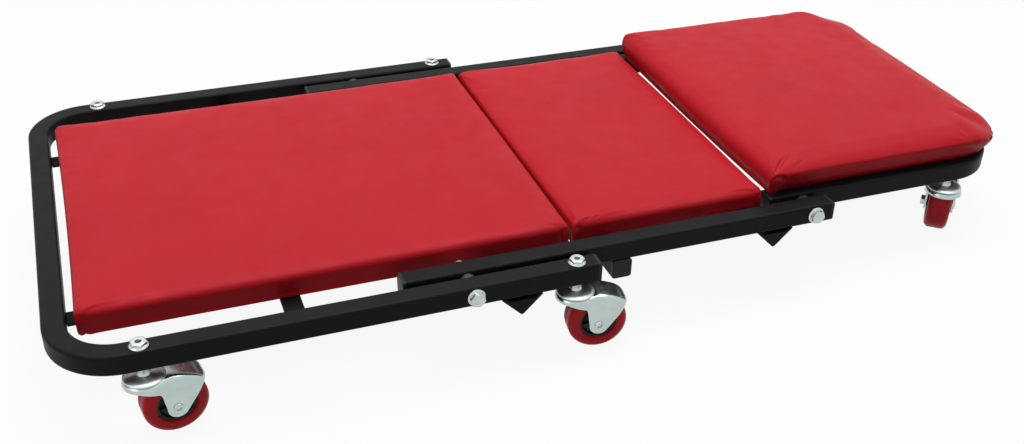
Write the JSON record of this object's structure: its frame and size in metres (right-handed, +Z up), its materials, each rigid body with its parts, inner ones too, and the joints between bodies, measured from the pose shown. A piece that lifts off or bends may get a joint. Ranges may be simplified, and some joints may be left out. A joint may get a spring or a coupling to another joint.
{
  "type": "mechanic creeper",
  "caption": "Low padded folding creeper on swivel casters; its three hinged sections lie flat or fold into a Z-shaped seat.",
  "frame": {"origin": "On the floor under the middle of the whole creeper as it lies flat: half its length and half its width.", "axes": "+X runs from the foot end to the head end, +Y to the far side in the picture, +Z up from the floor."},
  "size_m": [1, 0.499, 0.1263],
  "materials": {
    "powder_black": "satin powder coat",
    "plug_plastic": "matt",
    "spacer_plastic": "matt",
    "red_vinyl": "satin vinyl with a fine grain",
    "plywood": "raw",
    "fork_zinc": "zinc plated, satin",
    "cup_zinc": "bright zinc",
    "bearing_steel": "polished",
    "fastener_zinc": "zinc plated",
    "hub_plastic": "moulded",
    "wheel_red": "cast polyurethane, satin"
  },
  "bodies": {
    "base": {"base_frame_tube": "powder_black", "base_rail_plugs": "plug_plastic", "base_pad_bars": "powder_black", "base_stop_brackets": "powder_black", "base_pad_board": "plywood", "base_pad": "red_vinyl", "base_pad_screws": "fastener_zinc", "base_pivot_bolts": "fastener_zinc", "base_pivot_nuts": "fastener_zinc", "base_pivot_spacers": "spacer_plastic", "base_caster_stems": "fastener_zinc", "base_caster_nuts": "fastener_zinc", "base_caster_cups": "cup_zinc", "base_caster_balls": "bearing_steel"},
    "middle": {"middle_rails": "powder_black", "middle_plugs": "plug_plastic", "middle_cross_tube": "powder_black", "middle_pad_bars": "powder_black", "middle_stop_brackets": "powder_black", "middle_pad_board": "plywood", "middle_pad": "red_vinyl", "middle_pad_screws": "fastener_zinc", "head_pivot_bolts": "fastener_zinc", "head_pivot_nuts": "fastener_zinc", "head_pivot_spacers": "spacer_plastic"},
    "head": {"head_frame_tube": "powder_black", "head_arm_plugs": "plug_plastic", "head_cross_bars": "powder_black", "head_pad_board": "plywood", "head_pad": "red_vinyl", "head_pad_screws": "fastener_zinc", "head_caster_stems": "fastener_zinc", "head_caster_inserts": "fastener_zinc", "head_caster_cups": "cup_zinc", "head_caster_balls": "bearing_steel"},
    "fork_foot_front": {"fork_foot_front": "fork_zinc", "axle_foot_front": "fastener_zinc"},
    "wheel_foot_front": {"hub_foot_front": "hub_plastic", "tyre_foot_front": "wheel_red"},
    "fork_foot_rear": {"fork_foot_rear": "fork_zinc", "axle_foot_rear": "fastener_zinc"},
    "wheel_foot_rear": {"hub_foot_rear": "hub_plastic", "tyre_foot_rear": "wheel_red"},
    "fork_rail_front": {"fork_rail_front": "fork_zinc", "axle_rail_front": "fastener_zinc"},
    "wheel_rail_front": {"hub_rail_front": "hub_plastic", "tyre_rail_front": "wheel_red"},
    "fork_rail_rear": {"fork_rail_rear": "fork_zinc", "axle_rail_rear": "fastener_zinc"},
    "wheel_rail_rear": {"hub_rail_rear": "hub_plastic", "tyre_rail_rear": "wheel_red"},
    "fork_head_front": {"fork_head_front": "fork_zinc", "axle_head_front": "fastener_zinc"},
    "wheel_head_front": {"hub_head_front": "hub_plastic", "tyre_head_front": "wheel_red"},
    "fork_head_rear": {"fork_head_rear": "fork_zinc", "axle_head_rear": "fastener_zinc"},
    "wheel_head_rear": {"hub_head_rear": "hub_plastic", "tyre_head_rear": "wheel_red"}
  },
  "joints": [
    {"name": "middle_fold", "type": "hinge", "parent": "base", "child": "middle", "pos_m": [-0.136, 0, 0.082], "axis": [0, -1, 0], "range_deg": [0, 135]},
    {"name": "head_fold", "type": "hinge", "parent": "middle", "child": "head", "pos_m": [0.231, 0, 0.082], "axis": [0, 1, 0], "range_deg": [0, 135]},
    {"name": "swivel_foot_front", "type": "hinge", "parent": "base", "child": "fork_foot_front", "pos_m": [-0.425, -0.228, 0.06], "axis": [0, 0, 1], "continuous": true},
    {"name": "spin_foot_front", "type": "hinge", "parent": "fork_foot_front", "child": "wheel_foot_front", "pos_m": [-0.40429, -0.22453, 0.0285], "axis": [-0.165, 0.9863, 0], "continuous": true},
    {"name": "swivel_foot_rear", "type": "hinge", "parent": "base", "child": "fork_foot_rear", "pos_m": [-0.425, 0.228, 0.06], "axis": [0, 0, 1], "continuous": true},
    {"name": "spin_foot_rear", "type": "hinge", "parent": "fork_foot_rear", "child": "wheel_foot_rear", "pos_m": [-0.40429, 0.22453, 0.0285], "axis": [0.165, 0.9863, 0], "continuous": true},
    {"name": "swivel_rail_front", "type": "hinge", "parent": "base", "child": "fork_rail_front", "pos_m": [-0.0355, -0.228, 0.06], "axis": [0, 0, 1], "continuous": true},
    {"name": "spin_rail_front", "type": "hinge", "parent": "fork_rail_front", "child": "wheel_rail_front", "pos_m": [-0.01474, -0.23114, 0.0285], "axis": [0.1495, 0.9888, 0], "continuous": true},
    {"name": "swivel_rail_rear", "type": "hinge", "parent": "base", "child": "fork_rail_rear", "pos_m": [-0.0355, 0.228, 0.06], "axis": [0, 0, 1], "continuous": true},
    {"name": "spin_rail_rear", "type": "hinge", "parent": "fork_rail_rear", "child": "wheel_rail_rear", "pos_m": [-0.01474, 0.23114, 0.0285], "axis": [-0.1495, 0.9888, 0], "continuous": true},
    {"name": "swivel_head_front", "type": "hinge", "parent": "head", "child": "fork_head_front", "pos_m": [0.419, -0.174, 0.06], "axis": [0, 0, 1], "continuous": true},
    {"name": "spin_head_front", "type": "hinge", "parent": "fork_head_front", "child": "wheel_head_front", "pos_m": [0.4325, -0.15791, 0.0285], "axis": [-0.766, 0.6428, 0], "continuous": true},
    {"name": "swivel_head_rear", "type": "hinge", "parent": "head", "child": "fork_head_rear", "pos_m": [0.419, 0.174, 0.06], "axis": [0, 0, 1], "continuous": true},
    {"name": "spin_head_rear", "type": "hinge", "parent": "fork_head_rear", "child": "wheel_head_rear", "pos_m": [0.4325, 0.15791, 0.0285], "axis": [0.766, 0.6428, 0], "continuous": true}
  ]
}
